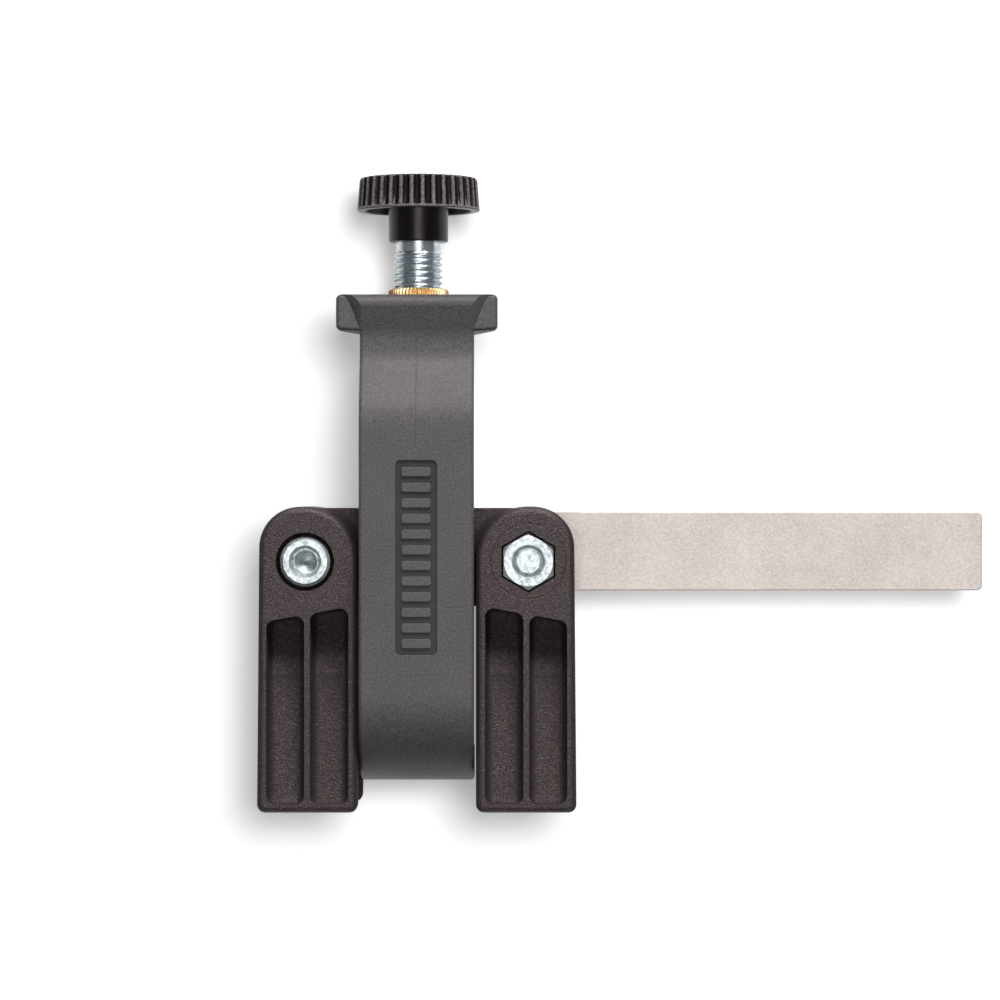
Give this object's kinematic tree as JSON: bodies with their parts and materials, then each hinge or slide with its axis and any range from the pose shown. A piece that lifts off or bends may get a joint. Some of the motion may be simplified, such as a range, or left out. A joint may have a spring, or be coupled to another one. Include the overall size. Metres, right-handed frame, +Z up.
{
  "type": "honing guide",
  "caption": "Small-knife holder for a sharpening jig: a plastic clamshell on a flat metal tongue, with a screw-driven hook that pulls a handle up into a V-shaped channel.",
  "frame": {"origin": "centre of the bounding box, on the bench plane under it; the part lies on the outer faces of its rear legs", "axes": "+X along the tongue towards its free end, +Y parallel to the clamp screw from the hook towards the knob, +Z up from the bench, from the rear legs to the frame's arm"},
  "size_m": [0.147, 0.1282, 0.0365],
  "materials": {
    "body_plastic": "fine spark-eroded texture",
    "frame_plastic": "satin, fine grain",
    "knob_plastic": "semi-gloss",
    "blasted_metal": "bead-blasted",
    "zinc_steel": "bright zinc plating",
    "brass": "machined, knurled"
  },
  "bodies": {
    "holder_body": {"body_half_front": "body_plastic", "body_half_rear": "body_plastic", "tongue": "blasted_metal", "cap_screw_left": "zinc_steel", "cap_screw_right": "zinc_steel", "nut_left": "zinc_steel", "nut_right": "zinc_steel"},
    "clamp_screw_unit": {"clamp_screw": "zinc_steel", "knob": "knob_plastic"},
    "frame_unit": {"clamp_frame": "frame_plastic", "threaded_insert": "brass"}
  },
  "joints": [
    {"name": "frame_slide", "type": "slide", "parent": "holder_body", "child": "frame_unit", "axis": [0, 1, 0], "range_m": [-0.02, 0.01]},
    {"name": "screw_turn", "type": "hinge", "parent": "holder_body", "child": "clamp_screw_unit", "pos_m": [-0.0415, 0, 0.016], "axis": [0, 1, 0], "range_deg": [-2592, 5184]}
  ],
  "couplings": [
    {"joint": "frame_slide", "follows": "screw_turn", "m_per_rad": -0.00019894}
  ]
}
